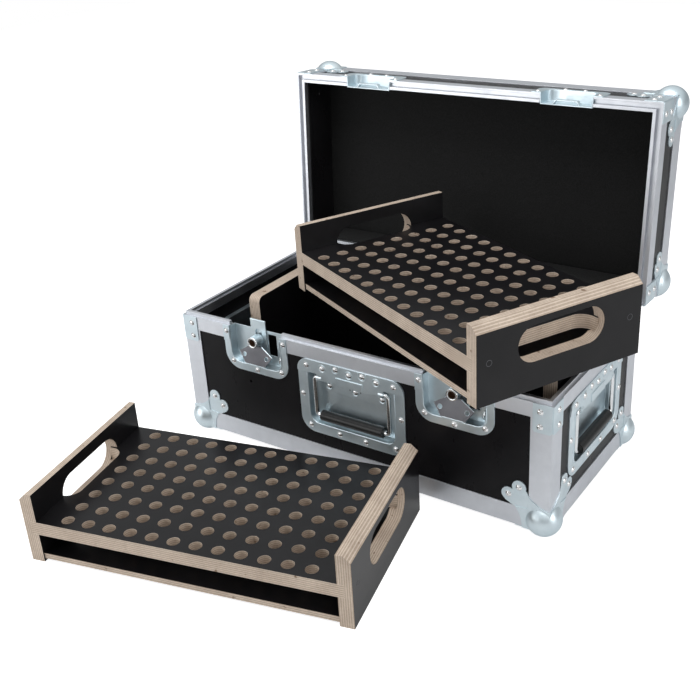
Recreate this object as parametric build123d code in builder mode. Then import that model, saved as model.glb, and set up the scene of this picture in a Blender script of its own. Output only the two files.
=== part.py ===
"""Flight case with a hinged lid, recessed latches and handles, and two lift-out drilled trays.

Millimetres, +Z up. X runs along the case front, the front faces -Y. The origin is the centre of
the floor panel's underside. The lid is stored open, one tray lies across the rim and the other
stands on the ground before the case.
"""
from build123d import *
import os
from math import cos, radians, sin

os.makedirs("parts", exist_ok=True)

# Case shell
W, D = 570.0, 270.0         # outside of the metal profiles
PANEL = 7.0                 # phenolic plywood
SHEET = 1.5                 # profile sheet, proud of the panels
PLATE = 1.2                 # pressed steel
Z_BOTTOM = -SHEET           # underside of the bottom profile
Z_RIM = 176.5               # shoulder of the base rim profile
LIP = 5.0                   # tongue above the shoulder
LIP_IN, LIP_T = 3.0, 5.0    # its set-back and thickness
RIM_LEG = 20.0
INNER_LEG = 13.0
EDGE_LEG = 27.5             # leg of the bottom and the lid top profile
REBATE = 0.3                # step of the floor panel over the profile's leg
CORNER_LEG = 28.0
WALL = PANEL + 2 * SHEET

# Ball corners
BALL_R, BALL_IN = 23.0, 12.5
LOBE_R = 9.5
BASE_LOBES = ((41, 55), (55, 42))
BASE_WEB = ((28, 27.5), (49, 27.5), (60, 33), (48, 54), (31, 52), (28, 46))
LID_LOBES = ((40, 43), (54, 37.5))
LID_WEB = ((28, 27.5), (47, 27.5), (58, 29), (46, 48), (32, 48), (28, 46))
Z_GROUND = Z_BOTTOM - 10.0

# Lid, drawn shut and then turned open about the hinge line
Z_LID = 177.0               # rim plane of the lid
Z_TOP = 258.5
LID_RAIL = 2.5              # outer rail beside the tongue groove
LID_RIM = 13.0              # full width of the lid rim profile
GROOVE = 5.3
HINGE_Y, HINGE_Z = D / 2 + 16.5, Z_RIM - 6.0
LID_ANGLE = 93.4
FOAM = 5.0
LINER = 4.0
FIT = 0.3

# Handles
DISH_W, DISH_H, DISH_Z = 167.0, 111.5, 100.75
HANDLE_FLANGE = 15.0
HANDLE_DEPTH = 12.0
POCKET_TOP = 142.0
BAIL_R, BAIL_X, BAIL_TOP, BAIL_LOW, BAIL_N = 3.25, 58.0, 131.0, 73.5, -1.0
GRIP_R, GRIP_L = 7.5, 98.0
KNUCKLE_X = (45.0, 52.5)
RUN = 0.05                  # radial clearance of a pin in its bore

# Latches
LATCH_X = 155.5
LATCH_W, LATCH_FLANGE, LATCH_Z = 110.0, 11.0, 112.0
LATCH_DEPTH = 10.5
STUD_Z, STUD_R = 161.5, 8.0
SHAFT_R = 4.0
HOOK_W, HOOK_T, HOOK_TOP = 26.0, 1.8, 190.5
HOOK_STROKE = 10.0
HOOK_PLAY = 3.0             # of the shaft in the hook's slot
WING_TILT = 14.0
WING_Z, WING_N = 150.0, -1.0
KEEPER_W, KEEPER_DEPTH, KEEPER_TOP = 75.0, 12.0, 203.0

# Hinges
HINGE_X = 170.0
HINGE_W = 64.0
PIN_R, KNUCKLE_R = 2.5, 4.5

# Trays
TRAY_L, TRAY_D, TRAY_H = 431.0, 237.0, 98.0
BOARD = 18.0
HOUSING = 9.0               # depth of the deck's housing in the end boards
DECK_Z = 41.0
HOLE_R, PITCH = 8.0, 29.4
HOLE_END, HOLE_SIDE = 30.0, 12.0    # least room to the end boards and to the long edges
COLS = int((TRAY_L - 2 * BOARD - 2 * HOLE_END) / PITCH) + 1
ROWS = int((TRAY_D - 2 * HOLE_SIDE) / PITCH) + 1
SLOT_L, SLOT_H, SLOT_Z = 124.0, 46.0, 58.5
BEVEL_X, BEVEL_Z = 9.0, 8.5
TRAY_POSES = {
    "rim_tray": Location((W / 2 - 441.5, D / 2 - 160.8, Z_RIM + 23.5), (0, 0, -26.34)),
    "floor_tray": Location((33.1 - W / 2, -D / 2 - 348.6, Z_GROUND), (0, 0, 13.10)),
}

# Guide boards that stand beside the trays' place in the case
GUIDE_TOP = 203.7
GUIDE_FRONT, GUIDE_BACK = 47.0 - D / 2, D / 2 - 20.0
GUIDE_PLAY = 1.0            # of a tray between the guides
GUIDE_X = {
    "guide_left": W / 2 - 34.0 - GUIDE_PLAY - TRAY_L - BOARD,
    "guide_right": W / 2 - 34.0,
}

LID_POSE = Pos(0, HINGE_Y, HINGE_Z) * Rot(-LID_ANGLE, 0, 0) * Pos(0, -HINGE_Y, -HINGE_Z)


def face(side, n=0.0):
    """Plane on a side of the case: x along it, y up, n out from the panel's face."""
    if side == "front":
        return Plane(origin=(0, -D / 2 + SHEET - n, 0), x_dir=(1, 0, 0), z_dir=(0, -1, 0))
    if side == "back":
        return Plane(origin=(0, D / 2 - SHEET + n, 0), x_dir=(-1, 0, 0), z_dir=(0, 1, 0))
    if side == "right":
        return Plane(origin=(W / 2 - SHEET + n, 0, 0), x_dir=(0, 1, 0), z_dir=(1, 0, 0))
    return Plane(origin=(-W / 2 + SHEET - n, 0, 0), x_dir=(0, -1, 0), z_dir=(-1, 0, 0))


def save(name, piece, pose=None):
    """Label a finished piece and write its STEP file."""
    if pose is not None:
        piece.part = pose * piece.part
    piece.part.label = name
    export_step(piece.part, f"parts/{name}.step")


def sheet(side, n, thick, u0, u1, z0, z1, mode=Mode.ADD, taper=0):
    """Rectangle on a side face, extruded outwards (or inwards when thick is negative)."""
    with BuildSketch(face(side, n)) as profile:
        with Locations(((u0 + u1) / 2, (z0 + z1) / 2)):
            Rectangle(u1 - u0, z1 - z0)
    extrude(profile.sketch, amount=thick, taper=taper, mode=mode)


def ring(z0, z1, outer, inner, mode=Mode.ADD):
    """Closed frame round the case, between two set-backs from the profile face."""
    with BuildSketch(Plane.XY.offset(z0)) as profile:
        Rectangle(W - 2 * outer, D - 2 * outer)
        Rectangle(W - 2 * inner, D - 2 * inner, mode=Mode.SUBTRACT)
    extrude(profile.sketch, amount=z1 - z0, mode=mode)


def slab(z0, z1, inset):
    """Horizontal panel."""
    with BuildSketch(Plane.XY.offset(z0)) as profile:
        Rectangle(W - 2 * inset, D - 2 * inset)
    extrude(profile.sketch, amount=z1 - z0)


def rounded(u, z, width, height, r_low, r_high):
    """Rectangle with its own radius at the lower and at the upper corners."""
    with Locations((u, z)):
        Rectangle(width, height)
    if r_low:
        fillet(corners_at(u, z, width, height, -1), r_low)
    if r_high:
        fillet(corners_at(u, z, width, height, 1), r_high)


def corners_at(u, z, width, height, end):
    """The two sketch corners at the lower (-1) or upper (1) end of a rectangle."""
    sketch = BuildSketch._get_context().sketch_local
    want = z + end * height / 2
    return [
        v
        for v in sketch.vertices()
        if abs(v.Y - want) < 1e-4 and abs(abs(v.X - u) - width / 2) < 1e-4
    ]


# Pan shapes that the panels and dishes are cut with
HANDLE_W = DISH_W - 2 * HANDLE_FLANGE
HANDLE_Z0 = DISH_Z - DISH_H / 2 + HANDLE_FLANGE
LATCH_IN = LATCH_W - 2 * LATCH_FLANGE
LATCH_Z0 = LATCH_Z + LATCH_FLANGE
HANDLE_SIDES = {"front": 0.0, "right": 0.0, "left": 0.0}


def handle_pan(side, grow, n0, depth, mode):
    """Tapered handle pan, grown outwards by a thickness."""
    with BuildSketch(face(side, n0)) as profile:
        rounded(0, (HANDLE_Z0 + POCKET_TOP) / 2, HANDLE_W + 2 * grow,
                POCKET_TOP - HANDLE_Z0 + 2 * grow, 14 + grow, 14 + grow)
    extrude(profile.sketch, amount=-depth, taper=8, mode=mode)


def latch_pan(side, u, grow, n0, depth, top, mode):
    """Tapered latch pan, open through its upper end."""
    high = top - LATCH_Z0 + grow
    with BuildSketch(face(side, n0)) as profile:
        rounded(u, LATCH_Z0 - grow + high / 2, LATCH_IN + 2 * grow, high, 14 + grow, 0)
    extrude(profile.sketch, amount=-depth, taper=5, mode=mode)


# Base shell
with BuildPart() as base_floor_panel:
    slab(0, PANEL, SHEET)
    ring(0, REBATE, 0, EDGE_LEG + FIT, Mode.SUBTRACT)
save("base_floor_panel", base_floor_panel)

with BuildPart() as base_front_panel:
    sheet("front", 0, -PANEL, -W / 2 + SHEET, W / 2 - SHEET, PANEL, Z_RIM - SHEET)
    handle_pan("front", PLATE, 0, PANEL, Mode.SUBTRACT)
    for u in (-LATCH_X, LATCH_X):
        latch_pan("front", u, PLATE, 0, PANEL, Z_RIM + 5, Mode.SUBTRACT)
    with Locations(face("front", 1)):
        with Locations((113.5 - W / 2, 95.2)):
            Hole(2.2, depth=5)
save("base_front_panel", base_front_panel)

with BuildPart() as base_back_panel:
    sheet("back", 0, -PANEL, -W / 2 + SHEET, W / 2 - SHEET, PANEL, Z_RIM - SHEET)
save("base_back_panel", base_back_panel)

for side in ("left", "right"):
    with BuildPart() as base_side_panel:
        half = D / 2 - SHEET - PANEL
        sheet(side, 0, -PANEL, -half, half, PANEL, Z_RIM - SHEET)
        handle_pan(side, PLATE, 0, PANEL, Mode.SUBTRACT)
    save(f"base_{side}_panel", base_side_panel)

with BuildPart() as base_bottom_profile:
    ring(Z_BOTTOM, Z_BOTTOM + EDGE_LEG, 0, SHEET)
    ring(Z_BOTTOM, 0, 0, EDGE_LEG)
save("base_bottom_profile", base_bottom_profile)


def corner_angles(z0, z1):
    """Four upright angle profiles at the corners."""
    with BuildSketch(Plane.XY.offset(z0)) as profile:
        with GridLocations(W - CORNER_LEG, D - CORNER_LEG, 2, 2):
            Rectangle(CORNER_LEG, CORNER_LEG)
        Rectangle(W - 2 * SHEET, D - 2 * SHEET, mode=Mode.SUBTRACT)
    extrude(profile.sketch, amount=z1 - z0)


with BuildPart() as base_corner_profiles:
    corner_angles(Z_BOTTOM + EDGE_LEG, Z_RIM - RIM_LEG)
save("base_corner_profiles", base_corner_profiles)

with BuildPart() as base_rim_profile:
    ring(Z_RIM - RIM_LEG, Z_RIM, 0, SHEET)
    ring(Z_RIM - SHEET, Z_RIM, 0, WALL)
    ring(Z_RIM, Z_RIM + LIP, LIP_IN, LIP_IN + LIP_T)
    ring(Z_RIM - INNER_LEG, Z_RIM, SHEET + PANEL, WALL)
    for u in (-LATCH_X, LATCH_X):
        half = LATCH_IN / 2 + PLATE
        sheet("front", SHEET + 1, -WALL - 3, u - half, u + half, LATCH_Z0, Z_RIM + LIP + 1,
              Mode.SUBTRACT)
save("base_rim_profile", base_rim_profile)


def corner_plate(side, end, lobes, web):
    """Wing of a ball corner on one side face: a plate on the profiles and two lobes."""
    span = W if side in ("front", "back") else D

    def at(a, b):
        return (end * (span / 2 - a), Z_BOTTOM + b)

    with BuildSketch(face(side, SHEET)) as profile:
        with BuildLine():
            Line(at(-PLATE, -PLATE), at(36, -PLATE))
            Line(at(36, -PLATE), at(36, 0))
            ThreePointArc(at(36, 0), at(38.5, 15), at(46, EDGE_LEG))
            Line(at(46, EDGE_LEG), at(CORNER_LEG + 1, EDGE_LEG + 1))
            Line(at(CORNER_LEG + 1, EDGE_LEG + 1), at(CORNER_LEG, 46))
            ThreePointArc(at(CORNER_LEG, 46), at(15, 36), at(0, 32))
            Line(at(0, 32), at(-PLATE, 32))
            Line(at(-PLATE, 32), at(-PLATE, -PLATE))
        make_face()
    extrude(profile.sketch, amount=PLATE)
    with BuildSketch(face(side)) as profile:
        with Locations(*[at(a, b) for a, b in lobes]):
            Circle(LOBE_R)
        with BuildLine():
            Polyline(*[at(a, b) for a, b in web], close=True)
        make_face()
    extrude(profile.sketch, amount=SHEET + 0.2)


def ball_corners(lobes, web):
    """Four ball corners at the bottom of the case."""
    with Locations((W / 2 - BALL_IN, -D / 2 + BALL_IN, Z_BOTTOM + BALL_IN)):
        Sphere(BALL_R)
    with Locations((W / 2 - 50, -D / 2 + 50, Z_BOTTOM + 50)):
        Box(100, 100, 100, mode=Mode.SUBTRACT)
    with Locations((W / 2, -D / 2, Z_GROUND - 10)):
        Box(90, 90, 20, mode=Mode.SUBTRACT)
    corner_plate("front", 1, lobes, web)
    corner_plate("right", -1, lobes, web)
    with BuildSketch(Plane.XY.offset(Z_BOTTOM)) as profile:
        with BuildLine():
            Polyline((W / 2, -D / 2), (W / 2 - 46, -D / 2), (W / 2 - 46, -D / 2 + 27),
                     (W / 2 - 27, -D / 2 + 27), (W / 2 - 27, -D / 2 + 46), (W / 2, -D / 2 + 46),
                     close=True)
        make_face()
    extrude(profile.sketch, amount=-PLATE)
    mirror(about=Plane.YZ)
    mirror(about=Plane.XZ)


with BuildPart() as base_ball_corners:
    ball_corners(BASE_LOBES, BASE_WEB)
save("base_ball_corners", base_ball_corners)


def rim_brace(side, end, leg):
    """One leg of a rim brace, on the corner and rim profiles."""
    span = W if side in ("front", "back") else D
    with BuildSketch(face(side, SHEET)) as profile:
        rounded(end * (span / 2 - leg / 2), Z_RIM - 19, leg, 38, 4, 0)
    extrude(profile.sketch, amount=PLATE)


with BuildPart() as base_rim_braces:
    rim_brace("front", 1, 25)
    rim_brace("right", -1, 27)
    mirror(about=Plane.YZ)
    mirror(about=Plane.XZ)
save("base_rim_braces", base_rim_braces)

for name, x in GUIDE_X.items():
    with BuildPart() as guide:
        with BuildSketch(Plane.YZ.offset(x)):
            with Locations(((GUIDE_FRONT + GUIDE_BACK) / 2, (PANEL + GUIDE_TOP) / 2)):
                Rectangle(GUIDE_BACK - GUIDE_FRONT, GUIDE_TOP - PANEL)
        extrude(amount=BOARD)
        fillet(guide.edges().filter_by(Axis.X).group_by(Axis.Z)[-1].sort_by(Axis.Y)[0], 9)
    save(name, guide)

# Handles
for side in HANDLE_SIDES:
    with BuildPart() as dish:
        with BuildSketch(face(side)):
            rounded(0, DISH_Z, DISH_W, DISH_H, 22, 17)
        extrude(amount=SHEET)
        handle_pan(side, PLATE, 0, HANDLE_DEPTH + PLATE, Mode.ADD)
        handle_pan(side, 0, SHEET, HANDLE_DEPTH + SHEET, Mode.SUBTRACT)
        # riveted strip that the return spring sits behind
        sheet(side, -HANDLE_DEPTH, 1.2, -62, 62, 106.5, POCKET_TOP - 4)
    save(f"handle_{side}_dish", dish)

    with BuildPart() as cover:
        with BuildSketch(face(side, SHEET)):
            rounded(0, DISH_Z + DISH_H / 2 - 9.5, DISH_W, 19, 0, 17)
            with Locations((0, (128.5 + 140) / 2)):
                Rectangle(2 * KNUCKLE_X[1], 11.5)
        extrude(amount=PLATE)
        # raised blank tab
        sheet(side, SHEET, PLATE + 1, -21, 21, 127.8, 139.2)
        # curls that hold the bail's ends
        for s in (-1, 1):
            x0, x1 = sorted((s * KNUCKLE_X[0], s * KNUCKLE_X[1]))
            base = face(side)
            curl = Plane(origin=base.from_local_coords((x0, BAIL_TOP, BAIL_N)),
                         x_dir=base.z_dir, z_dir=base.x_dir)
            with BuildSketch(curl):
                Circle(BAIL_R + RUN + 1.3)
            extrude(amount=x1 - x0)
            with BuildSketch(curl.offset(-3)):
                Circle(BAIL_R + RUN)
            extrude(amount=x1 - x0 + 6, mode=Mode.SUBTRACT)
    save(f"handle_{side}_cover", cover)

    with BuildPart() as bail:
        with BuildLine(face(side, BAIL_N)) as wire:
            FilletPolyline((-KNUCKLE_X[0], BAIL_TOP), (-BAIL_X, BAIL_TOP), (-BAIL_X, BAIL_LOW),
                           (BAIL_X, BAIL_LOW), (BAIL_X, BAIL_TOP), (KNUCKLE_X[0], BAIL_TOP),
                           radius=5)
        with BuildSketch(Plane(origin=wire.wire() @ 0, z_dir=wire.wire() % 0)):
            Circle(BAIL_R)
        sweep()
    save(f"handle_{side}_bail", bail)

    with BuildPart() as grip:
        base = face(side)
        end = Plane(origin=base.from_local_coords((-GRIP_L / 2, BAIL_LOW, BAIL_N)),
                    x_dir=base.z_dir, z_dir=base.x_dir)
        with BuildSketch(end):
            Circle(GRIP_R)
            Circle(BAIL_R, mode=Mode.SUBTRACT)
        extrude(amount=GRIP_L)
    save(f"handle_{side}_grip", grip)

# Latches
for name, u in (("left", -LATCH_X), ("right", LATCH_X)):
    with BuildPart() as dish:
        with BuildSketch(face("front")):
            rounded(u, (LATCH_Z + 156.2) / 2, LATCH_W, 156.2 - LATCH_Z, 24, 0)
        extrude(amount=SHEET)
        # upper part, stepped out over the rim profile
        sheet("front", SHEET, PLATE, u - LATCH_W / 2, u + LATCH_W / 2, 153, Z_RIM)
        latch_pan("front", u, PLATE, 0, LATCH_DEPTH + PLATE, Z_RIM, Mode.ADD)
        latch_pan("front", u, 0, SHEET + PLATE + 0.3, LATCH_DEPTH + SHEET + PLATE + 0.3, Z_RIM + 5,
                  Mode.SUBTRACT)
        # opening for the drive, and the shaft's bore
        sheet("front", -LATCH_DEPTH + 1, -4, u + 15, u + 29, 139, 171, Mode.SUBTRACT)
        with BuildSketch(face("front", -LATCH_DEPTH + 1)):
            with Locations((u, STUD_Z)):
                Circle(SHAFT_R + RUN)
        extrude(amount=-4, mode=Mode.SUBTRACT)
    save(f"latch_{name}_dish", dish)

    hook_n = -LATCH_DEPTH + FIT
    with BuildPart() as hook:
        sheet("front", hook_n, HOOK_T, u - HOOK_W / 2, u + HOOK_W / 2, 137, HOOK_TOP - 1.3)
        with BuildSketch(face("front", hook_n)):
            with Locations((u, STUD_Z + HOOK_STROKE / 2)):
                SlotOverall(2 * SHAFT_R + HOOK_PLAY + HOOK_STROKE, 2 * SHAFT_R + HOOK_PLAY,
                            rotation=90)
        extrude(amount=HOOK_T, mode=Mode.SUBTRACT)
        # beaded upper edge
        base = face("front")
        bead = Plane(origin=base.from_local_coords((u - HOOK_W / 2, HOOK_TOP - 1.3,
                                                    hook_n + HOOK_T / 2)),
                     x_dir=base.z_dir, z_dir=base.x_dir)
        with BuildSketch(bead):
            Circle(1.3)
        extrude(amount=HOOK_W)
    save(f"latch_{name}_hook", hook)

    stud_n = hook_n + HOOK_T + FIT
    with BuildPart() as rotor:
        with BuildSketch(face("front", -LATCH_DEPTH - PLATE - 1.5)):
            with Locations((u, STUD_Z)):
                Circle(SHAFT_R)
        extrude(amount=stud_n + LATCH_DEPTH + PLATE + 1.5)
        with BuildSketch(face("front", -LATCH_DEPTH - PLATE - 1.5)):
            with Locations((u, STUD_Z)):
                Circle(SHAFT_R + 2.5)
        extrude(amount=1.2)
        with BuildSketch(face("front", stud_n)):
            with Locations((u, STUD_Z)):
                Circle(STUD_R)
        extrude(amount=7.5 - stud_n)
        with BuildSketch(face("front", 7.5)):
            with Locations((u, STUD_Z)):
                Circle(5.6)
        extrude(amount=-9, mode=Mode.SUBTRACT)
        # lug that carries the wing
        sheet("front", WING_N - 4, 2.2, u - 6, u + 6, WING_Z + 4.8, STUD_Z - 2)
    save(f"latch_{name}_rotor", rotor)

    with BuildPart() as wing:
        base = face("front", WING_N)
        tilt = Plane(origin=base.from_local_coords((u, WING_Z, 0)), x_dir=(1, 0, 0),
                     z_dir=(0, -cos(radians(WING_TILT)), sin(radians(WING_TILT))))
        with BuildSketch(tilt):
            with BuildLine():
                Polyline((-9, 4), (-28.5, -8), (-17, -24), (17, -24), (28.5, -8), (9, 4),
                         close=True)
            make_face()
            with Locations((0, STUD_Z - WING_Z)):
                Circle(STUD_R + 0.6, mode=Mode.SUBTRACT)
            with Locations((-19, -11.5), (19, -11.5)):
                Circle(3.0, mode=Mode.SUBTRACT)
        extrude(amount=1.5)
        # rolled lower edge
        with BuildSketch(Plane(origin=tilt.from_local_coords((-14, -24, 0.4)), x_dir=tilt.z_dir,
                               z_dir=tilt.x_dir)):
            Circle(1.2)
        extrude(amount=28)
    save(f"latch_{name}_wing", wing)

# Lid, drawn shut
Z_WEB = Z_LID + GROOVE
Z_WALL = Z_WEB + SHEET
Z_ROOF = Z_TOP - SHEET - PANEL


def keeper_pan(u, grow, n0, depth, mode):
    """Keeper pan, open at the rim plane, with a sloped upper end."""
    high = KEEPER_TOP - Z_LID + 4 + grow
    with BuildSketch(face("front", n0)) as profile:
        rounded(u, KEEPER_TOP + grow - high / 2, KEEPER_W - 2 * PLATE + 2 * grow, high, 0, 9)
    extrude(profile.sketch, amount=-depth, taper=3, mode=mode)


with BuildPart() as lid_top_panel:
    slab(Z_ROOF, Z_ROOF + PANEL, SHEET)
save("lid_top_panel", lid_top_panel, LID_POSE)

with BuildPart() as lid_front_panel:
    sheet("front", 0, -PANEL, -W / 2 + SHEET, W / 2 - SHEET, Z_WALL, Z_ROOF)
    for u in (-LATCH_X, LATCH_X):
        keeper_pan(u, PLATE, 0, PANEL, Mode.SUBTRACT)
save("lid_front_panel", lid_front_panel, LID_POSE)

with BuildPart() as lid_back_panel:
    sheet("back", 0, -PANEL, -W / 2 + SHEET, W / 2 - SHEET, Z_WALL, Z_ROOF)
save("lid_back_panel", lid_back_panel, LID_POSE)

for side in ("left", "right"):
    with BuildPart() as lid_side_panel:
        half = D / 2 - SHEET - PANEL
        sheet(side, 0, -PANEL, -half, half, Z_WALL, Z_ROOF)
    save(f"lid_{side}_panel", lid_side_panel, LID_POSE)

with BuildPart() as lid_top_profile:
    ring(Z_TOP - EDGE_LEG, Z_TOP, 0, SHEET)
    ring(Z_TOP - SHEET, Z_TOP, 0, EDGE_LEG)
save("lid_top_profile", lid_top_profile, LID_POSE)

with BuildPart() as lid_corner_profiles:
    corner_angles(Z_LID + RIM_LEG, Z_TOP - EDGE_LEG)
save("lid_corner_profiles", lid_corner_profiles, LID_POSE)

with BuildPart() as lid_rim_profile:
    ring(Z_LID, Z_LID + RIM_LEG, 0, SHEET)
    ring(Z_LID, Z_WALL, 0, LID_RAIL)
    ring(Z_WEB, Z_WALL, 0, LID_RIM)
    ring(Z_LID, Z_WALL, SHEET + PANEL + FIT, LID_RIM)
    ring(Z_WALL, Z_LID + INNER_LEG, SHEET + PANEL, WALL)
    for u in (-LATCH_X, LATCH_X):
        half = KEEPER_W / 2
        sheet("front", SHEET + 1, -LID_RIM - 2, u - half, u + half, Z_LID - 1,
              KEEPER_TOP + PLATE, Mode.SUBTRACT)
save("lid_rim_profile", lid_rim_profile, LID_POSE)

with BuildPart() as upright_corners:
    ball_corners(LID_LOBES, LID_WEB)
with BuildPart() as lid_ball_corners:
    add(upright_corners.part.mirror(Plane.XY.offset((Z_BOTTOM + Z_TOP) / 2)))
save("lid_ball_corners", lid_ball_corners, LID_POSE)

with BuildPart() as lid_rim_braces:
    add(base_rim_braces.part.mirror(Plane.XY.offset((Z_RIM + Z_LID) / 2)))
save("lid_rim_braces", lid_rim_braces, LID_POSE)

for name, u in (("left", -LATCH_X), ("right", LATCH_X)):
    with BuildPart() as keeper:
        with BuildSketch(face("front", SHEET)):
            rounded(u, Z_LID + 17, 100, 34, 0, 10)
        extrude(amount=PLATE)
        keeper_pan(u, PLATE, SHEET, KEEPER_DEPTH + PLATE + SHEET, Mode.ADD)
        keeper_pan(u, 0, SHEET + PLATE, KEEPER_DEPTH + PLATE + SHEET, Mode.SUBTRACT)
        with BuildSketch(Plane.XY.offset(Z_LID - 10)):
            with Locations((u, -D / 2 + 5)):
                Rectangle(130, 40)
        extrude(amount=10, mode=Mode.SUBTRACT)
        # pressed bridge that the hook enters
        for grow, mode in ((0, Mode.ADD), (-1.2, Mode.SUBTRACT)):
            with BuildSketch(Plane.XY.offset(Z_LID)):
                y0 = -D / 2 + SHEET + KEEPER_DEPTH
                with BuildLine():
                    Polyline((u - 19.2 - grow, y0), (u - 15.5 - grow, y0 - 6 - grow),
                             (u + 15.5 + grow, y0 - 6 - grow), (u + 19.2 + grow, y0), close=True)
                make_face()
            extrude(amount=7.5, mode=mode)
    save(f"keeper_{name}", keeper, LID_POSE)

with BuildPart() as lid_foam:
    wall_in = SHEET + PANEL + FIT
    with BuildSketch(Plane.XY.offset(Z_ROOF - FIT - FOAM)):
        Rectangle(W - 2 * wall_in, D - 2 * wall_in)
    extrude(amount=FOAM)
    for side in ("front", "back"):
        half = W / 2 - SHEET - PANEL - FIT
        sheet(side, -PANEL - FIT, -LINER, -half, half, Z_LID + INNER_LEG + FIT, Z_ROOF - FIT)
    for u in (-LATCH_X, LATCH_X):
        sheet("front", 0, -40, u - 42, u + 42, Z_LID, KEEPER_TOP + 4, Mode.SUBTRACT)
save("lid_foam", lid_foam, LID_POSE)

with BuildPart() as lid_side_boards:
    for side in ("left", "right"):
        half = D / 2 - SHEET - PANEL - 2 * FIT - LINER
        sheet(side, -PANEL, -LINER, -half, half, Z_LID + INNER_LEG, Z_ROOF - 2 * FIT - FOAM)
save("lid_side_boards", lid_side_boards, LID_POSE)

# Hinges at the back
def hinge_leaf(points, segments, flat):
    """Leaf from a plate outline and arms that carry the knuckles."""
    for x in (-HINGE_X, HINGE_X):
        with BuildSketch(Plane.YZ.offset(x - HINGE_W / 2)) as profile:
            with BuildLine():
                Polyline(*flat, close=True)
            make_face()
        extrude(profile.sketch, amount=HINGE_W)
        for a, b in segments:
            with BuildSketch(Plane.YZ.offset(x + a)) as profile:
                with BuildLine():
                    Polyline(*points, close=True)
                make_face()
                with Locations((HINGE_Y, HINGE_Z)):
                    Circle(KNUCKLE_R)
                    Circle(PIN_R + RUN, mode=Mode.SUBTRACT)
            extrude(profile.sketch, amount=b - a)


FACE_Y = D / 2
with BuildPart() as hinge_base_leaves:
    low, high = HINGE_Z - 24.5, HINGE_Z - 10.5
    hinge_leaf(((FACE_Y, low), (FACE_Y + 2, low), (HINGE_Y + 4, HINGE_Z - 4.5),
                (HINGE_Y, HINGE_Z - 2.5), (FACE_Y, high)),
               ((-28, -12.2), (12.2, 28)),
               ((FACE_Y, low - 30), (FACE_Y + 2, low - 30), (FACE_Y + 2, high), (FACE_Y, high)))
save("hinge_base_leaves", hinge_base_leaves)

with BuildPart() as hinge_lid_leaves:
    low, high = HINGE_Z + 13.5, HINGE_Z + 25.5
    hinge_leaf(((FACE_Y, low), (FACE_Y, high), (FACE_Y + 2, high), (HINGE_Y + 4, HINGE_Z + 3.5),
                (HINGE_Y, HINGE_Z + 1.5), (FACE_Y + 4, low - 4)),
               ((-12, 12),),
               ((FACE_Y, low), (FACE_Y + 2, low), (FACE_Y + 2, low + 38), (FACE_Y, low + 38)))
save("hinge_lid_leaves", hinge_lid_leaves, LID_POSE)

with BuildPart() as hinge_pins:
    for x in (-HINGE_X, HINGE_X):
        with BuildSketch(Plane.YZ.offset(x - 28)):
            with Locations((HINGE_Y, HINGE_Z)):
                Circle(PIN_R)
        extrude(amount=56)
save("hinge_pins", hinge_pins)


# Trays
for name, pose in TRAY_POSES.items():
    with BuildPart() as deck:
        with BuildSketch(Plane.XY.offset(DECK_Z)):
            with Locations((TRAY_L / 2, TRAY_D / 2)):
                Rectangle(TRAY_L - 2 * HOUSING, TRAY_D)
                with GridLocations(PITCH, PITCH, COLS, ROWS):
                    Circle(HOLE_R, mode=Mode.SUBTRACT)
            # finger room behind each hand slot
            with Locations((HOUSING, TRAY_D / 2), (TRAY_L - HOUSING, TRAY_D / 2)):
                RectangleRounded(2 * (BOARD - HOUSING + 14), SLOT_L - 6, 18, mode=Mode.SUBTRACT)
        extrude(amount=BOARD)
    save(f"{name}_deck", deck, pose)

    with BuildPart() as bottom:
        with BuildSketch(Plane.XY.offset(4)):
            with Locations((TRAY_L / 2, TRAY_D / 2)):
                Rectangle(TRAY_L - 2 * BOARD, TRAY_D - 4)
        extrude(amount=8)
    save(f"{name}_bottom", bottom, pose)

    for end, x in (("left", 0.0), ("right", TRAY_L)):
        inward = 1 if end == "left" else -1
        with BuildPart() as board:
            with BuildSketch(Plane.XZ):
                with BuildLine():
                    Polyline((x, 0), (x + inward * BOARD, 0), (x + inward * BOARD, TRAY_H),
                             (x + inward * BEVEL_X, TRAY_H), (x, TRAY_H - BEVEL_Z), close=True)
                make_face()
            extrude(amount=-TRAY_D)
            with BuildSketch(Plane.XZ):
                with Locations((x + inward * (HOUSING + BOARD / 2), DECK_Z + BOARD / 2)):
                    Rectangle(BOARD, BOARD)
            extrude(amount=-TRAY_D, mode=Mode.SUBTRACT)
            with BuildSketch(Plane.YZ.offset(min(x, x + inward * BOARD) - 1)):
                with Locations((TRAY_D / 2, SLOT_Z)):
                    SlotOverall(SLOT_L, SLOT_H)
            extrude(amount=BOARD + 2, mode=Mode.SUBTRACT)
        save(f"{name}_end_{end}", board, pose)
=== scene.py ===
"""Looks of the flight case: materials, rivets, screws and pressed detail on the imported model."""
import bpy
import bmesh
from math import cos, exp, pi, radians, sin
from mathutils import Matrix, Vector, noise


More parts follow.
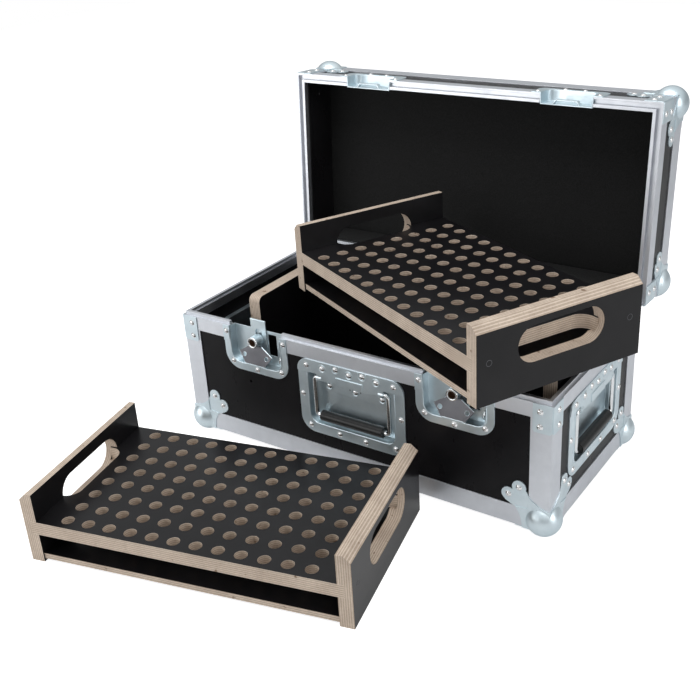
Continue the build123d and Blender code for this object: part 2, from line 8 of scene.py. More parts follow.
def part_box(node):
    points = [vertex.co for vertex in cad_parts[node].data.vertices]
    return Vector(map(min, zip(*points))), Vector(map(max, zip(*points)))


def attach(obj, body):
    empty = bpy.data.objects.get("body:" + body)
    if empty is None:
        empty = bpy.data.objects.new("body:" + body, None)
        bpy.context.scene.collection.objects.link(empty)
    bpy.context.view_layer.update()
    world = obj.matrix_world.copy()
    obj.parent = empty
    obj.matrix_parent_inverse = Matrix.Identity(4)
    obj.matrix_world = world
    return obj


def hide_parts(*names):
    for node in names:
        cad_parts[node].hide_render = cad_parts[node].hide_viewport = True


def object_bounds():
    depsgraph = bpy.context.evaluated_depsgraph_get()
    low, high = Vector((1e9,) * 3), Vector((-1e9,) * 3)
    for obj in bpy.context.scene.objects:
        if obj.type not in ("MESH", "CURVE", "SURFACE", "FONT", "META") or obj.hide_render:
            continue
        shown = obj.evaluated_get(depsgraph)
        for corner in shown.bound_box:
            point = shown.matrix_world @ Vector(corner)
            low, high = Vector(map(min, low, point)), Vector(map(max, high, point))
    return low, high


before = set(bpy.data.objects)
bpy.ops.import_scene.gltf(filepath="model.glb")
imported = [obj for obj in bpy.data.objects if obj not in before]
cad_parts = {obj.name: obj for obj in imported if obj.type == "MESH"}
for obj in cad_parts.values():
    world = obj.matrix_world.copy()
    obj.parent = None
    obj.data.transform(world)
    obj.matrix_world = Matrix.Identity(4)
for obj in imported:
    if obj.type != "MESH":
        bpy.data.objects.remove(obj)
cad_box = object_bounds()

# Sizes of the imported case, in millimetres
MM = 0.001
W, D = 570.0, 270.0
SHEET, PANEL, PLATE = 1.5, 7.0, 1.2
Z_FLOOR, Z_TOP = -1.5, 258.5
PROUD = SHEET + PLATE           # face of a plate that lies on the profile
TRAY_L = 431.0
HANDLES = ("front", "right", "left")
LATCHES = {"left": -155.5, "right": 155.5}
HINGES = (-170, 170)
DISH_FACE = -10.8               # upper strip inside a handle's dish
STUD_Z = 161.5
WING_N, WING_Z, WING_TILT = -1.0, 150.0, radians(14.0)

LID_HINGE = Vector((0, 151.5, 170.5))
LID_OPEN = (Matrix.Translation(LID_HINGE) @ Matrix.Rotation(radians(-93.4), 4, "X")
            @ Matrix.Translation(-LID_HINGE))
TRAYS = {
    "rim_tray": (Matrix.Translation((-156.5, -25.8, 200.0))
                 @ Matrix.Rotation(radians(-26.34), 4, "Z")),
    "floor_tray": (Matrix.Translation((-251.9, -483.6, -11.5))
                   @ Matrix.Rotation(radians(13.10), 4, "Z")),
}


class Nodes:
    """Short way to add nodes to a material and link them."""

    def __init__(self, name):
        self.mat = bpy.data.materials.new(name)
        self.mat.use_nodes = True
        self.tree = self.mat.node_tree
        self.tree.nodes.clear()
        self.out = self.add("ShaderNodeOutputMaterial")
        self.bsdf = self.add("ShaderNodeBsdfPrincipled")
        self.link(self.bsdf, "BSDF", self.out, "Surface")
        self.coord = self.add("ShaderNodeTexCoord")

    def add(self, kind, **values):
        """New node, with values for its sockets or its settings."""
        node = self.tree.nodes.new(kind)
        for key, value in values.items():
            if key in node.inputs:
                node.inputs[key].default_value = value
            else:
                setattr(node, key, value)
        return node

    def link(self, a, out, b, socket):
        self.tree.links.new(a.outputs[out], b.inputs[socket])

    def shade(self, **values):
        """Set the shader's own sockets; an underscore stands for a space."""
        for key, value in values.items():
            self.bsdf.inputs[key.replace("_", " ")].default_value = value

    def noise(self, scale, detail=4.0, rough=0.5, stretch=(1, 1, 1)):
        mapping = self.add("ShaderNodeMapping")
        mapping.inputs["Scale"].default_value = stretch
        self.link(self.coord, "Object", mapping, "Vector")
        node = self.add("ShaderNodeTexNoise", Scale=scale, Detail=detail, Roughness=rough)
        self.link(mapping, "Vector", node, "Vector")
        return node

    def ramp(self, source, out, stops):
        """Colour ramp; a stop is a place and a grey or a colour."""
        node = self.add("ShaderNodeValToRGB")
        ramp = node.color_ramp
        while len(ramp.elements) < len(stops):
            ramp.elements.new(0.5)
        for element, (pos, value) in zip(ramp.elements, stops):
            element.position = pos
            if isinstance(value, (int, float)):
                value = (value, value, value)
            element.color = (*value, 1)
        self.link(source, out, node, "Fac")
        return node

    def math(self, op, a, b=None):
        """Math node; each operand is a number or a pair of node and output."""
        node = self.add("ShaderNodeMath", operation=op)
        for index, item in enumerate((a, b)):
            if item is None:
                continue
            if isinstance(item, (int, float)):
                node.inputs[index].default_value = item
            else:
                self.tree.links.new(item[0].outputs[item[1]], node.inputs[index])
        return node

    def mix(self, fac, a, b, blend="MIX"):
        """Colour mix; a and b are colours or pairs of node and output."""
        node = self.add("ShaderNodeMix", data_type="RGBA", blend_type=blend)
        if isinstance(fac, (int, float)):
            node.inputs[0].default_value = fac
        else:
            self.tree.links.new(fac[0].outputs[fac[1]], node.inputs[0])
        for index, item in ((6, a), (7, b)):
            if isinstance(item[0], (int, float)):
                node.inputs[index].default_value = (*item, 1)
            else:
                self.tree.links.new(item[0].outputs[item[1]], node.inputs[index])
        return node

    def bump(self, source, out, strength, distance, radius=0.0):
        """Bump on the shader, over edges that look rounded by the radius."""
        node = self.add("ShaderNodeBump", Strength=strength, Distance=distance)
        self.link(source, out, node, "Height")
        if radius:
            bevel = self.add("ShaderNodeBevel", samples=4, Radius=radius)
            self.link(bevel, "Normal", node, "Normal")
        self.link(node, "Normal", self.bsdf, "Normal")
        return node


FILM_TONES = ((0.35, (0.0062, 0.0058, 0.0066)), (0.7, (0.0105, 0.0098, 0.0108)))
FINE_BUMP = 0.0002


def film():
    """Black phenolic film over plywood, with a faint pressed grain and handling marks."""
    n = Nodes("phenolic_film")
    tone = n.ramp(n.noise(14.0, 4, 0.6), "Fac", FILM_TONES)
    fine = n.noise(1100.0, 2)
    n.link(tone, "Color", n.bsdf, "Base Color")
    smear = n.noise(38.0, 5, 0.65, (1, 1, 0.4))
    rough = n.ramp(smear, "Fac", ((0.3, 0.25), (0.7, 0.36)))
    n.link(rough, "Color", n.bsdf, "Roughness")
    n.shade(Specular_IOR_Level=0.12)
    n.bump(fine, "Fac", 0.05, FINE_BUMP)
    return n.mat


PLY_PITCH = 1.4 * MM            # thickness of one veneer
PLY_WANDER = 0.0014             # how far the veneers drift
PLY_BANDS = ((0.0, 0.1), (0.07, 1.0), (0.44, 1.0), (0.52, 0.0), (0.58, 0.35), (0.93, 0.35),
             (1.0, 0.0))
BIRCH_LIGHT = ((0.56, 0.455, 0.365), (0.86, 0.745, 0.63))
BIRCH_DARK = ((0.28, 0.20, 0.14), (0.56, 0.44, 0.335))
KNOT = (0.16, 0.09, 0.05)
WOOD_ROUGH, FILM_GLOSS = 0.74, 0.46


def ply(name, axis, start):
    """Plywood board: film on its two broad faces, and bare birch plies on every edge."""
    n = Nodes(name)
    geometry = n.add("ShaderNodeNewGeometry")
    side = n.add("ShaderNodeVectorMath", operation="DOT_PRODUCT")
    side.inputs[1].default_value = axis
    n.link(geometry, "True Normal", side, 0)
    face = n.math("GREATER_THAN", (n.math("ABSOLUTE", (side, "Value")), 0), 0.85)

    # veneers, counted along the board's thickness
    along = n.add("ShaderNodeVectorMath", operation="DOT_PRODUCT")
    along.inputs[1].default_value = axis
    n.link(n.coord, "Object", along, 0)
    drift = n.noise(11.0, 3)
    wander = n.math("MULTIPLY", (n.math("SUBTRACT", (drift, "Fac"), 0.5), 0), PLY_WANDER)
    depth = n.math("ADD", (along, "Value"), (wander, 0))
    phase = n.math("DIVIDE", (n.math("SUBTRACT", (depth, 0), start * MM), 0), 2 * PLY_PITCH)
    layer = n.math("FRACT", (phase, 0))
    bands = n.ramp(layer, 0, PLY_BANDS)

    # wood fibres, darker patches and small knots
    grain = n.noise(420.0, 6, 0.65)
    light = n.mix((grain, "Fac"), *BIRCH_LIGHT)
    dark = n.mix((grain, "Fac"), *BIRCH_DARK)
    wood = n.mix((bands, "Color"), (dark, 2), (light, 2))
    patch = n.noise(30.0, 4, 0.6)
    tint = n.ramp(patch, "Fac", ((0.3, (0.80, 0.78, 0.77)), (0.65, (1.0, 1.0, 1.0))))
    warm = n.mix(1.0, (wood, 2), (tint, "Color"), "MULTIPLY")
    spots = n.noise(95.0, 2, 0.4)
    knot = n.ramp(spots, "Fac", ((0.70, 0.0), (0.76, 0.8)))
    stained = n.mix((knot, "Color"), (warm, 2), KNOT)

    skin = n.ramp(n.noise(14.0, 4, 0.6), "Fac", FILM_TONES)
    tone = n.mix((face, 0), (stained, 2), (skin, "Color"))
    n.link(tone, 2, n.bsdf, "Base Color")
    rough = n.math("SUBTRACT", WOOD_ROUGH, (n.math("MULTIPLY", (face, 0), FILM_GLOSS), 0))
    n.link(rough, 0, n.bsdf, "Roughness")
    n.shade(Specular_IOR_Level=0.24)
    height = n.math("MULTIPLY", (grain, "Fac"), (n.math("SUBTRACT", 1.0, (face, 0)), 0))
    n.bump(height, 0, 0.18, FINE_BUMP, 0.0004)
    return n.mat


def metal(name, low, high, rough, bevel=0.0, scale=22.0, streak=90.0, bump=0.02):
    """Metal with gentle tone drift, soft edges, and faint streaks from rolling and handling."""
    n = Nodes(name)
    drift = n.noise(scale, 4, 0.5)
    tone = n.ramp(drift, "Fac", ((0.3, low), (0.7, high)))
    fine = n.noise(streak, 5, 0.6)
    veil = n.ramp(fine, "Fac", ((0.25, 0.92), (0.75, 1.0)))
    colour = n.mix(1.0, (tone, "Color"), (veil, "Color"), "MULTIPLY")
    n.link(colour, 2, n.bsdf, "Base Color")
    spread = n.ramp(fine, "Fac", ((0.3, rough[1]), (0.7, rough[0])))
    n.link(spread, "Color", n.bsdf, "Roughness")
    n.shade(Metallic=1.0)
    n.bump(fine, "Fac", bump, FINE_BUMP, bevel)
    return n.mat


def soft_black(name, tone, scale, strength, rough):
    """Foam or rubber, and the dull near-black painted shade of the handle slots."""
    n = Nodes(name)
    fine = n.noise(scale, 6, 0.7)
    colour = n.ramp(fine, "Fac", ((0.35, tone * 0.6), (0.7, tone * 1.6)))
    n.link(colour, "Color", n.bsdf, "Base Color")
    n.shade(Roughness=rough, Specular_IOR_Level=0.3)
    n.bump(fine, "Fac", strength, 0.0006, 0.0006)
    return n.mat


FILM = film()
ALU = metal("anodised_profile", (0.66, 0.68, 0.72), (0.74, 0.76, 0.80), (0.38, 0.46), 0.0006,
            scale=9.0, streak=60.0, bump=0.006)
ZINC = metal("zinc_plate", (0.61, 0.71, 0.76), (0.75, 0.84, 0.88), (0.34, 0.44), 0.0009,
             streak=60.0, bump=0.006)
BRIGHT = metal("nickel_rivet", (0.78, 0.78, 0.78), (0.90, 0.90, 0.90), (0.10, 0.18))
CHROME = metal("bail_wire", (0.74, 0.77, 0.78), (0.86, 0.88, 0.89), (0.10, 0.18))
DARK = metal("dark_steel", (0.09, 0.09, 0.10), (0.15, 0.15, 0.16), (0.36, 0.46), 0.0005)
BORE = metal("stud_bore", (0.22, 0.15, 0.11), (0.34, 0.24, 0.17), (0.45, 0.6))
# Painted shade: a dull near-black for the plates that stand in for the shade inside the handle
# slots
SLOT_SHADE = soft_black("painted_slot_shade", 0.004, 300.0, 0.05, 0.7)
RUBBER = soft_black("grip_rubber", 0.012, 260.0, 0.04, 0.32)
FOAM = soft_black("lining_foam", 0.008, 620.0, 0.9, 0.95)

# First match on the end of a node's name; the other nodes are zinc plated
BY_ENDING = (
    (("_panel", "side_boards"), FILM),
    (("profile", "profiles"), ALU),
    (("grip",), RUBBER),
    (("bail", "hinge_pins"), CHROME),
    (("wing",), DARK),
    (("foam",), FOAM),
    (("",), ZINC),
)


def paint(node, material):
    """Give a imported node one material."""
    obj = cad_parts[node]
    obj.data.materials.clear()
    obj.data.materials.append(material)


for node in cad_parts:
    if node.startswith("guide"):
        paint(node, ply(f"ply_{node}", (1, 0, 0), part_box(node)[0].x / MM))
    elif "tray" not in node:
        paint(node, next(material for endings, material in BY_ENDING if node.endswith(endings)))
for name, pose in TRAYS.items():
    axis = pose.to_3x3() @ Vector((1, 0, 0))
    base = pose.translation.z
    end = ply(f"ply_{name}_end", tuple(axis), pose.translation @ axis)
    paint(f"{name}_end_left", end)
    paint(f"{name}_end_right", end)
    paint(f"{name}_deck", ply(f"ply_{name}_deck", (0, 0, 1), base + 41))
    paint(f"{name}_bottom", ply(f"ply_{name}_bottom", (0, 0, 1), base + 4))


def side_frame(side):
    """Matrix from (along, up, out) on a side panel's face to the case."""
    if side == "front":
        return Matrix(((1, 0, 0, 0), (0, 0, -1, -D / 2 + SHEET), (0, 1, 0, 0), (0, 0, 0, 1)))
    if side == "back":
        return Matrix(((-1, 0, 0, 0), (0, 0, 1, D / 2 - SHEET), (0, 1, 0, 0), (0, 0, 0, 1)))
    if side == "right":
        return Matrix(((0, 0, 1, W / 2 - SHEET), (1, 0, 0, 0), (0, 1, 0, 0), (0, 0, 0, 1)))
    return Matrix(((0, 0, -1, -W / 2 + SHEET), (-1, 0, 0, 0), (0, 1, 0, 0), (0, 0, 0, 1)))


def at(side, u, z, n):
    """Place on a side, u along it, z up and n out of its panel."""
    return side_frame(side) @ Matrix.Translation((u, z, n))


def turned(radius, start, sweep, steps):
    """Points (x, y) along an arc about the origin."""
    angles = [start + sweep * i / steps for i in range(steps + 1)]
    return [(radius * cos(a), radius * sin(a)) for a in angles]


def lathe(bm, place, profile, segments=20):
    """Turn a list of (radius, height) about the local Z axis."""
    rings = []
    for radius, height in profile:
        if radius < 1e-6:
            rings.append([bm.verts.new(place @ Vector((0, 0, height)))])
            continue
        angles = [2 * pi * i / segments for i in range(segments)]
        rings.append([bm.verts.new(place @ Vector((radius * cos(a), radius * sin(a), height)))
                      for a in angles])
    for a, b in zip(rings, rings[1:]):
        for i in range(segments):
            j = (i + 1) % segments
            corners = (a[i % len(a)], a[j % len(a)], b[j % len(b)], b[i % len(b)])
            unique = list(dict.fromkeys(corners))
            if len(unique) > 2:
                bm.faces.new(unique)


def turned_ring(bm, place, profile, segments=24):
    """Turn a closed list of (radius, height) about the local Z axis."""
    before = set(bm.verts)
    lathe(bm, place, tuple(profile) + (profile[0],), segments)
    made = [v for v in bm.verts if v not in before]
    bmesh.ops.remove_doubles(bm, verts=made, dist=1e-4)


def bead(bm, points, radius, segments=8, closed=False):
    """Round bead along a list of points."""
    count = len(points)
    rings = []
    for i, p in enumerate(points):
        before = points[i - 1] if (i or closed) else points[0]
        after = points[(i + 1) % count] if (i < count - 1 or closed) else points[-1]
        direction = (after - before).normalized()
        other = Vector((0.31, 0.11, 0.94)) if abs(direction.z) < 0.8 else Vector((1, 0.2, 0))
        u = direction.cross(other).normalized()
        v = direction.cross(u)
        rings.append([
            bm.verts.new(p + radius * (cos(2 * pi * k / segments) * u
                                       + sin(2 * pi * k / segments) * v))
            for k in range(segments)
        ])
    pairs = list(zip(rings, rings[1:]))
    if closed:
        pairs.append((rings[-1], rings[0]))
    for a, b in pairs:
        for k in range(segments):
            m = (k + 1) % segments
            bm.faces.new((a[k], a[m], b[m], b[k]))
    if not closed:
        bm.faces.new(rings[0])
        bm.faces.new(rings[-1])


def plate(bm, place, outline, thick, soft=0.0):
    """Flat plate from an outline in the local XY plane, with its upper edges softened."""
    before = set(bm.verts)
    face = bm.faces.new([bm.verts.new((x, y, 0)) for x, y in outline])
    grown = bmesh.ops.extrude_face_region(bm, geom=[face])
    top = [g for g in grown["geom"] if isinstance(g, bmesh.types.BMVert)]
    bmesh.ops.translate(bm, vec=(0, 0, thick), verts=top)
    if soft:
        edges = {e for v in top for e in v.link_edges if all(w in top for w in e.verts)}
        bmesh.ops.bevel(bm, geom=list(edges), offset=soft, segments=3, affect="EDGES",
                        profile=0.5)
    made = [v for v in bm.verts if v not in before]
    bmesh.ops.transform(bm, matrix=place, verts=made)


def folded_lip(bm, place, upper, half, z0, radius):
    """Bright fold round a dish: down from the upper points on the right, and up on the left."""
    low = [(half - radius + x, z0 + radius + z, LIP_N)
           for x, z in turned(radius, -pi / 2, pi / 2, 8)]
    right = upper + low[::-1]
    left = [(-u, z, n) for u, z, n in right[::-1]]
    bead(bm, [place @ Vector(p) for p in right + left], 1.1, 10)


def finish_piece(bm, name, body, material):
    """Turn a mesh drawn in millimetres into a smooth piece that rides on a body."""
    bmesh.ops.scale(bm, vec=(MM, MM, MM), verts=bm.verts)
    bmesh.ops.recalc_face_normals(bm, faces=bm.faces)
    mesh = bpy.data.meshes.new(name)
    bm.to_mesh(mesh)
    bm.free()
    mesh.polygons.foreach_set("use_smooth", [True] * len(mesh.polygons))
    mesh.set_sharp_from_angle(angle=radians(40))
    mesh.materials.append(material)
    obj = bpy.data.objects.new(name, mesh)
    bpy.context.scene.collection.objects.link(obj)
    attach(obj, body)
    return obj


# Turned profiles, as (radius, height)
LIP_N = 1.3
RIVET = ((0.0, -0.2), (4.2, -0.2), (4.2, 0.2), (3.9, 0.4), (3.3, 1.1), (2.4, 1.75), (1.5, 2.0),
         (0.95, 1.9), (0.8, 1.1), (0.0, 1.0))
SMALL = tuple((r * 0.8, h * 0.85) for r, h in RIVET)
SCREW = ((0.0, -1.4), (4.0, -1.4), (4.0, 0.08), (3.5, 0.1), (3.1, -0.3), (1.4, -0.3),
         (1.2, -0.9), (0.0, -1.0))
DIMPLE = ((6.2, 0.02), (5.6, 0.5), (5.0, 0.42), (4.3, 0.04), (4.3, -0.2), (6.2, -0.2))
CUP = ((0, -1.45), (5.55, -1.45), (5.55, 7.1), (5.1, 7.1), (5.1, -1.1), (0, -1.1))
COLLAR = ((7.9, 6.4), (8.25, 7.0), (8.0, 7.55), (7.2, 7.8), (6.2, 7.7), (5.65, 7.3),
          (5.65, 6.4))


def heads(name, body, places, profile=RIVET, material=BRIGHT):
    """Many equal heads in one piece."""
    bm = bmesh.new()
    for place in places:
        lathe(bm, place, profile)
    return finish_piece(bm, name, body, material)


def corner_rivets(lobes, braces):
    """Rivets by the four corners: (inset, z) on the balls' lobes, and z on the rim braces."""
    made = []
    for side in ("front", "back", "right", "left"):
        span = W if side in ("front", "back") else D
        for end in (-1, 1):
            made += [at(side, end * (span / 2 - inset), z, SHEET + 0.2) for inset, z in lobes]
            made += [at(side, end * (span / 2 - 15.5), z, PROUD) for z in braces]
    return made


def hinge_rivets(rows):
    """Three rivets in each row on both hinge leaves."""
    return [at("back", x + u, z, SHEET + 2) for x in HINGES for u in (-24, 0, 24) for z in rows]


# Rivets of the base
places = corner_rivets(((41, Z_FLOOR + 55), (55, Z_FLOOR + 42)), (146.5, 166.5))
for side in HANDLES:
    places += [at(side, u, 147.3, PROUD) for u in (-68.5, -42.5, 0, 42.5, 68.5)]
    places += [at(side, u, 150.8, PROUD) for u in (-21, 21)]
    for u, z in ((78, 101.5), (68.5, 55), (21, 51.8)):
        places += [at(side, -u, z, SHEET), at(side, u, z, SHEET)]
for x in LATCHES.values():
    places += [at("front", x + u, 168, PROUD) for u in (-49.5, 49.5)]
    places += [at("front", x + u, z, SHEET) for u, z in ((-42.5, 123), (42.5, 123), (0, 117.5))]
places += hinge_rivets((124, 136))
heads("base_rivets", "case", places)
heads("handle_inner_rivets", "case",
      [at(side, u, 116.1, DISH_FACE) for side in HANDLES for u in (-42, 0, 42)])

# Rivets and liner screws of the lid, placed on the shut lid and turned open
places = corner_rivets(((40, Z_TOP - 43), (54, Z_TOP - 37.5)), (187.0, 207.0))
places += hinge_rivets((206, 216))
heads("lid_rivets", "lid", [LID_OPEN @ place for place in places])
keeper = ((-43.5, 184), (43.5, 184), (-14, 207), (14, 207))
heads("keeper_rivets", "lid",
      [LID_OPEN @ at("front", x + u, z, PROUD) for x in LATCHES.values() for u, z in keeper],
      SMALL)
heads("lid_board_screws", "lid",
      [LID_OPEN @ Matrix.Translation((s * 272.5, -100, 212))
       @ Matrix.Rotation(-s * pi / 2, 4, "Y") for s in (-1, 1)],
      SCREW)

# Tray screws
for name, pose in TRAYS.items():
    places = []
    for y in (17.0, 220.0):
        for x, s in ((0, -1), (TRAY_L, 1)):
            places.append(pose @ Matrix.Translation((x, y, 52))
                          @ Matrix.Rotation(s * pi / 2, 4, "Y"))
    heads(f"{name}_screws", name, places, SCREW, DARK)

# Pressed rings, bays and folded lip of the handles, and near-black plates that paint the shade
# inside the slots
for side in HANDLES:
    base = side_frame(side)
    bm = bmesh.new()
    for u in (-42.5, 0, 42.5):
        turned_ring(bm, at(side, u, 147.3, PROUD), DIMPLE)
    for u in (-42, 0, 42):
        turned_ring(bm, at(side, u, 116.1, DISH_FACE), DIMPLE)
    for u in (-21, 21):
        bay = [(-6.2, 4.5)] + turned(6.2, pi, pi, 14) + [(6.2, 4.5)]
        bead(bm, [base @ Vector((u + x, 151 + z, 2.6)) for x, z in bay], 0.7, 8)
    folded_lip(bm, base, [(68.5, 136.5, LIP_N)], 68.5, 60.0, 13.5)
    finish_piece(bm, f"handle_{side}_pressing", "case", ZINC)
    # Painted shade: two near-black ovals, a hair proud of the dish, stand in for the shade inside
    # the slots beside the centre inner rivet
    bm = bmesh.new()
    for u in (-8.5, 8.5):
        oval = [(u + 1.1 * x, 119.5 + 3.2 * z) for x, z in turned(1, 0, 2 * pi, 16)[:-1]]
        plate(bm, base @ Matrix.Translation((0, 0, DISH_FACE - 0.05)), oval, 0.12)
    finish_piece(bm, f"handle_{side}_painted_slot_shade", "case", SLOT_SHADE)

# Latches: painted highlights along the wing's edges, hollow stud, clip in the pan and folded lip
# round it
WING_EDGE = ((-9, 3.6), (-28, -8), (-16.8, -23.6), (16.8, -23.6), (28, -8), (9, 3.6))
CLIP = ((41.5, 148, -9.6), (41, 146.5, -6), (40.2, 144, -3.2), (39.2, 140.5, -1.6),
        (38.6, 137, -1.8), (38.8, 134, -3.6), (39.6, 132.6, -6.6), (40.2, 132.4, -9.6))
for name, x in LATCHES.items():
    base = at("front", x, 0, 0)
    wing = base @ Matrix.Translation((0, WING_Z, WING_N)) @ Matrix.Rotation(-WING_TILT, 4, "X")
    bm = bmesh.new()
    # Painted highlight: bright zinc beads along the dark wing's outline, on its rolled lower edge
    # and round its two holes
    bead(bm, [wing @ Vector((u, z, 0.75)) for u, z in WING_EDGE], 0.85, 8)
    bead(bm, [wing @ Vector((u, -24, 0.4)) for u in (-14.2, -7, 0, 7, 14.2)], 1.35, 12)
    for u in (-19, 19):
        loop = [wing @ Vector((u + s, -11.5 + t, 1.45)) for s, t in turned(3.1, 0, 2 * pi, 20)]
        bead(bm, loop[:-1], 0.4, 6, closed=True)
    finish_piece(bm, f"latch_{name}_wing_painted_highlight", f"wing_{name}", ZINC)

    bm = bmesh.new()
    lathe(bm, at("front", x, STUD_Z, 0), CUP, 24)
    finish_piece(bm, f"latch_{name}_stud_cup", f"rotor_{name}", BORE)
    bm = bmesh.new()
    turned_ring(bm, at("front", x, STUD_Z, 0), COLLAR, 28)
    finish_piece(bm, f"latch_{name}_stud_collar", f"rotor_{name}", CHROME)

    bm = bmesh.new()
    bead(bm, [base @ Vector(p) for p in CLIP], 1.5, 10)
    finish_piece(bm, f"latch_{name}_clip", "case", CHROME)
    bm = bmesh.new()
    folded_lip(bm, base, [(44.3, 172, 2.5), (44.3, 158, 2.5), (44.0, 153, 1.4)], 44.0, 123.0,
               14.0)
    finish_piece(bm, f"latch_{name}_lip", "case", ZINC)

# Foam lining of the lid: a sheet under the top, with steps bunched where its rim rounds over
FOAM_WIDE, FOAM_DEEP = W - 17.6, D - 17.6
FOAM_Z0, FOAM_Z1 = 244.7, 249.7
COLS, ROWS = 110, 52
bm = bmesh.new()
grid = []
for j in range(ROWS + 1):
    line = []
    for i in range(COLS + 1):
        px = -0.5 * cos(pi * i / COLS) * FOAM_WIDE
        py = -0.5 * cos(pi * j / ROWS) * FOAM_DEEP
        rim = min(FOAM_WIDE / 2 - abs(px), FOAM_DEEP / 2 - abs(py))
        drop = 1.6 * exp(-rim / 2.2)
        wave = 0.25 * noise.noise(Vector((px, py, 0)) * 0.018)
        line.append(bm.verts.new((px, py, FOAM_Z0 + 0.3 + drop + wave)))
    grid.append(line)
for near, far in zip(grid, grid[1:]):
    for i in range(COLS):
        bm.faces.new((near[i], near[i + 1], far[i + 1], far[i]))
border = (grid[0][:-1] + [line[-1] for line in grid[:-1]]
          + grid[-1][:0:-1] + [line[0] for line in grid[:0:-1]])
back = [bm.verts.new((v.co.x, v.co.y, FOAM_Z1)) for v in border]
for i in range(len(border)):
    j = (i + 1) % len(border)
    bm.faces.new((border[i], border[j], back[j], back[i]))
bm.faces.new(back)

# and two strips on the long walls, the front one cut out round the keepers
STRIP_HALF = W / 2 - SHEET - PANEL - 0.3
STRIP_LOW, STRIP_HIGH, STRIP_T = 190.3, 244.2, 4.0
CUT_HALF, CUT_HIGH = 42, 207
upper = [(STRIP_HALF, STRIP_HIGH), (-STRIP_HALF, STRIP_HIGH)]
notched = [(-STRIP_HALF, STRIP_LOW)]
for x in LATCHES.values():
    notched += [(x - CUT_HALF, STRIP_LOW), (x - CUT_HALF, CUT_HIGH), (x + CUT_HALF, CUT_HIGH),
                (x + CUT_HALF, STRIP_LOW)]
notched += [(STRIP_HALF, STRIP_LOW)] + upper
mirrored = [(-u, z) for u, z in reversed(notched)]
full = [(-STRIP_HALF, STRIP_LOW), (STRIP_HALF, STRIP_LOW)] + upper
for side, outline in (("back", full), ("front", mirrored)):
    plate(bm, at(side, 0, 0, -PANEL - 0.3) @ Matrix.Rotation(pi, 4, "Y"), outline, STRIP_T, 1.0)
bmesh.ops.transform(bm, matrix=LID_OPEN, verts=bm.verts)
lining = finish_piece(bm, "lid_lining", "lid", FOAM)
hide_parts("lid_foam")

# Camera
CAMERA_PLACE = Vector((0.69444, -1.09372, 0.76633))
CAMERA_RIGHT = Vector((0.82642, 0.56016, -0.05707))
CAMERA_DOWN = Vector((0.20565, -0.39465, -0.89552))
CAMERA_AHEAD = Vector((-0.52416, 0.72834, -0.44134))
scene = bpy.context.scene
camera = bpy.data.objects.new("camera", bpy.data.cameras.new("camera"))
scene.collection.objects.link(camera)
turn = Matrix((CAMERA_RIGHT, -CAMERA_DOWN, -CAMERA_AHEAD)).transposed().to_4x4()
camera.matrix_world = Matrix.Translation(CAMERA_PLACE) @ turn
camera.data.sensor_width = 36.0
camera.data.lens = 52.83
scene.camera = camera
scene.view_settings.view_transform = "Standard"

# Studio: white to the camera, a soft glow on the object, and graded walls in the metal
SKY_STOPS = ((0.0, 0.8), (0.46, 0.62), (0.52, 0.3), (0.62, 0.36), (0.80, 0.8), (1.0, 0.9))
world = bpy.data.worlds.new("studio")
scene.world = world
world.use_nodes = True
tree = world.node_tree
tree.nodes.clear()


def sky_node(kind, **values):
    """New node of the world, with values for its sockets."""
    made = tree.nodes.new(kind)
    for key, value in values.items():
        made.inputs[key].default_value = value
    return made


output = sky_node("ShaderNodeOutputWorld")
seen = sky_node("ShaderNodeBackground", Color=(1, 1, 1, 1))
soft = sky_node("ShaderNodeBackground", Color=(0.94, 0.97, 1.0, 1), Strength=0.42)
shine = sky_node("ShaderNodeBackground")
direction = sky_node("ShaderNodeTexCoord")
split = sky_node("ShaderNodeSeparateXYZ")
sky = sky_node("ShaderNodeValToRGB")
while len(sky.color_ramp.elements) < len(SKY_STOPS):
    sky.color_ramp.elements.new(0.5)
for element, (pos, value) in zip(sky.color_ramp.elements, SKY_STOPS):
    element.position = pos
    element.color = (value * 0.97, value * 0.99, value, 1)
rise = sky_node("ShaderNodeMath")
rise.operation = "MULTIPLY_ADD"
rise.inputs[1].default_value = 0.5
rise.inputs[2].default_value = 0.5
rays = sky_node("ShaderNodeLightPath")
glossy = sky_node("ShaderNodeMixShader")
blend = sky_node("ShaderNodeMixShader")
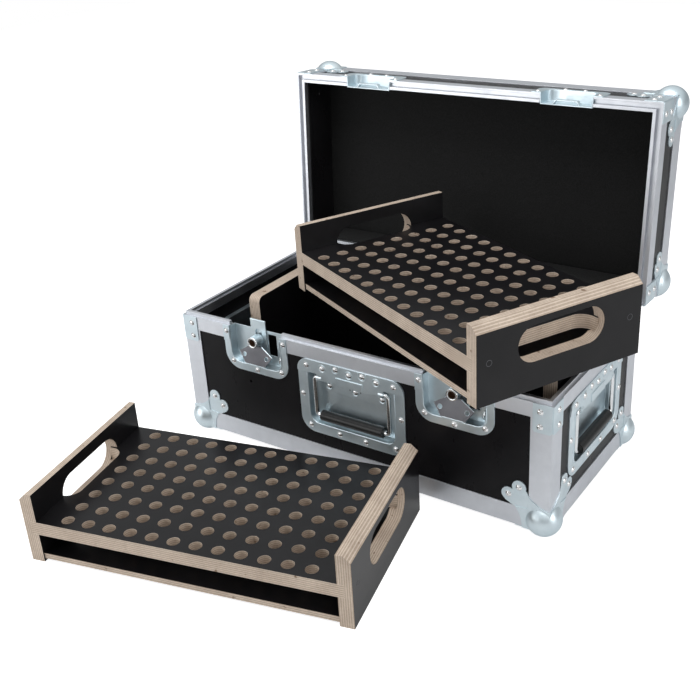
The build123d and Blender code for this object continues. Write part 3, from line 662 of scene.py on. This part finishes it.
for source, out, target, socket in (
    (direction, "Generated", split, 0),
    (split, "Z", rise, 0),
    (rise, 0, sky, "Fac"),
    (sky, "Color", shine, "Color"),
    (rays, "Is Glossy Ray", glossy, 0),
    (soft, 0, glossy, 1),
    (shine, 0, glossy, 2),
    (rays, "Is Camera Ray", blend, 0),
    (glossy, 0, blend, 1),
    (seen, 0, blend, 2),
    (blend, 0, output, 0),
):
    tree.links.new(source.outputs[out], target.inputs[socket])


def area(name, place, target, size, power):
    """Soft lamp at a place, turned to a target."""
    light = bpy.data.lights.new(name, "AREA")
    light.shape = "RECTANGLE"
    light.size, light.size_y = size
    light.energy = power
    obj = bpy.data.objects.new(name, light)
    scene.collection.objects.link(obj)
    obj.location = place
    obj.rotation_euler = (Vector(target) - Vector(place)).to_track_quat("-Z", "Y").to_euler()


area("top", (0.0, -0.4, 1.9), (0, 0, 0.1), (1.6, 1.2), 20)
area("front_left", (-1.2, -1.75, 0.5), (0, 0, 0.1), (1.9, 0.9), 13)
area("right", (1.9, -0.3, 0.8), (0, 0, 0.15), (0.7, 1.4), 9)

# Pale floor, which glows to the camera, and faintly in the metal
FLOOR_TONE, FLOOR_GLOW, FLOOR_IN_METAL = 0.72, 0.86, 0.2
bpy.ops.mesh.primitive_plane_add(size=8, location=(0, 0, cad_box[0][2] - 0.0002))
floor = bpy.context.object
floor.name = "floor"
ground = Nodes("floor_paper")
ground.shade(Base_Color=(FLOOR_TONE, FLOOR_TONE, FLOOR_TONE, 1), Roughness=0.9,
             Specular_IOR_Level=0.1)
rays = ground.add("ShaderNodeLightPath")
bare = ground.math("MAXIMUM", (rays, "Is Camera Ray"), (rays, "Is Transmission Ray"))
strength = ground.add("ShaderNodeMath", operation="MULTIPLY_ADD")
ground.link(rays, "Is Glossy Ray", strength, 0)
strength.inputs[1].default_value = FLOOR_IN_METAL
ground.link(bare, 0, strength, 2)
glow = ground.add("ShaderNodeEmission", Color=(FLOOR_GLOW, FLOOR_GLOW, FLOOR_GLOW, 1))
ground.link(strength, 0, glow, "Strength")
both = ground.add("ShaderNodeAddShader")
ground.link(ground.bsdf, "BSDF", both, 0)
ground.link(glow, "Emission", both, 1)
ground.link(both, "Shader", ground.out, "Surface")
floor.data.materials.append(ground.mat)
